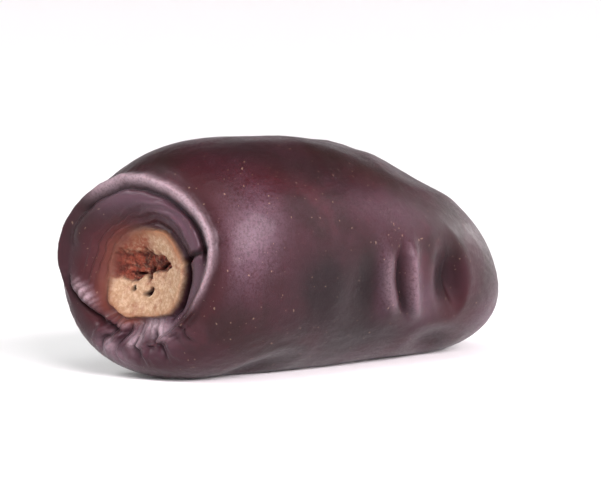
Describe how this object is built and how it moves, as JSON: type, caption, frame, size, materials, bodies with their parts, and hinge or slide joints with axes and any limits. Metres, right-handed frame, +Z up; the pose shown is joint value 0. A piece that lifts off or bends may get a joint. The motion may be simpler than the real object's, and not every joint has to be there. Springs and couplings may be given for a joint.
{
  "type": "mazafati date",
  "caption": "Soft dark date lying on its side, with a cupped stem end, a folded collar, a corky cap scar, and hollows and pleats in its skin.",
  "frame": {"origin": "under the middle of the fruit, on the surface that it rests on", "axes": "+Z up, +X along the fruit from the stem end to the tip, -Y the side that shows in the picture"},
  "size_m": [0.0406, 0.0222, 0.0201],
  "materials": {
    "date_skin": "waxy dark maroon skin, satin to glossy, with a tan corky scar at the stem end"
  },
  "bodies": {
    "root": {"date": "date_skin"}
  },
  "joints": []
}
